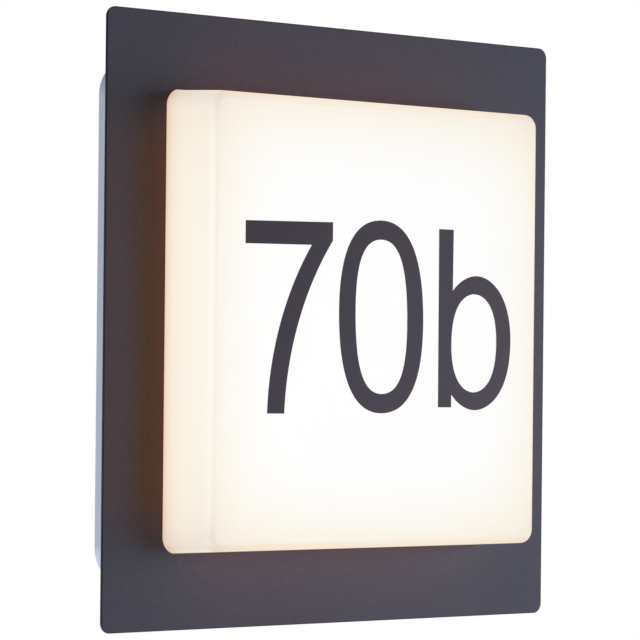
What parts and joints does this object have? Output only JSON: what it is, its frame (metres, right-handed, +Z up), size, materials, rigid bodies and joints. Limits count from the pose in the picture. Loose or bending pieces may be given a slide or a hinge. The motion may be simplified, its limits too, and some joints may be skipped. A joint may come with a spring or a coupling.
{
  "type": "illuminated house number sign",
  "caption": "Square wall light with a dark metal front plate, a raised opal lit box carrying house numerals, and a smaller sealed housing behind it that screws to the wall.",
  "frame": {"origin": "centre of the four wall-screw holes, on the wall plane at the housing's back face", "axes": "+X to the right as seen from in front, +Y into the wall, +Z up; the lit face looks along -Y"},
  "size_m": [0.3, 0.0667, 0.3],
  "materials": {
    "anthracite_powder": "fine speckled powder coat, satin to matt",
    "opal_acrylic": "opal acrylic, gloss, lit from inside",
    "numeral_film": "dark grey matt film",
    "housing_plastic": "pale grey moulded, light texture",
    "black_rubber": "matt",
    "brass": "machined",
    "white_enamel": "white gloss paint",
    "zinc_steel": "bright zinc",
    "stainless": "plain stainless",
    "white_board": "white solder mask on aluminium",
    "led_phosphor": "yellow phosphor",
    "white_plastic": "moulded",
    "green_board": "solder mask",
    "winding_tape": "polyester tape",
    "capacitor_sleeve": "shrink sleeve",
    "clear_plastic": "natural polyamide",
    "black_plastic": "moulded",
    "brown_wire": "wire sleeve",
    "blue_wire": "wire sleeve",
    "red_wire": "wire sleeve",
    "black_wire": "wire sleeve"
  },
  "bodies": {
    "base": {"rear_housing": "housing_plastic", "housing_floor": "housing_plastic", "wall_hole_washers": "black_rubber", "cable_grommet": "black_rubber", "thread_inserts": "brass", "gear_tray": "white_enamel", "tray_screws": "zinc_steel", "lead_grommet": "black_rubber", "led_board": "white_board", "led_packages": "led_phosphor", "led_board_screws": "zinc_steel", "led_connector": "white_plastic", "driver_case": "white_plastic", "driver_lid": "white_plastic", "driver_board": "green_board", "driver_transformer": "winding_tape", "driver_capacitors": "capacitor_sleeve", "driver_screws": "zinc_steel", "terminal_block": "clear_plastic", "terminal_tubes": "brass", "terminal_screws": "zinc_steel", "terminal_mount_screw": "zinc_steel", "cord_clamp": "black_plastic", "cord_clamp_screws": "zinc_steel", "live_lead": "brown_wire", "neutral_lead": "blue_wire", "led_plus_lead": "red_wire", "led_minus_lead": "black_wire"},
    "cover": {"front_plate": "anthracite_powder", "plate_studs": "zinc_steel", "cover_tab_left": "anthracite_powder", "cover_tab_right": "anthracite_powder", "flat_gasket": "black_rubber", "opal_diffuser": "opal_acrylic", "flange_washers": "zinc_steel", "flange_nuts": "zinc_steel", "digit_seven": "numeral_film", "digit_zero": "numeral_film", "letter_b": "numeral_film"},
    "washer_left": {"screw_washer_left": "stainless"},
    "washer_right": {"screw_washer_right": "stainless"},
    "screw_left": {"cover_screw_left": "stainless"},
    "screw_right": {"cover_screw_right": "stainless"}
  },
  "joints": [
    {"name": "cover_slide", "type": "slide", "parent": "base", "child": "cover", "axis": [0, -1, 0], "range_m": [0, 0.06]},
    {"name": "screw_left_travel", "type": "slide", "parent": "base", "child": "washer_left", "axis": [-1, 0, 0], "range_m": [0, 0.0028]},
    {"name": "screw_left_turn", "type": "hinge", "parent": "washer_left", "child": "screw_left", "pos_m": [-0.13, -0.022, 0], "axis": [-1, 0, 0], "range_deg": [0, 1440]},
    {"name": "screw_right_travel", "type": "slide", "parent": "base", "child": "washer_right", "axis": [1, 0, 0], "range_m": [0, 0.0028]},
    {"name": "screw_right_turn", "type": "hinge", "parent": "washer_right", "child": "screw_right", "pos_m": [0.13, -0.022, 0], "axis": [1, 0, 0], "range_deg": [0, 1440]}
  ],
  "couplings": [
    {"joint": "screw_left_turn", "follows": "screw_left_travel", "rad_per_m": 8975.9},
    {"joint": "screw_right_turn", "follows": "screw_right_travel", "rad_per_m": 8975.9}
  ]
}
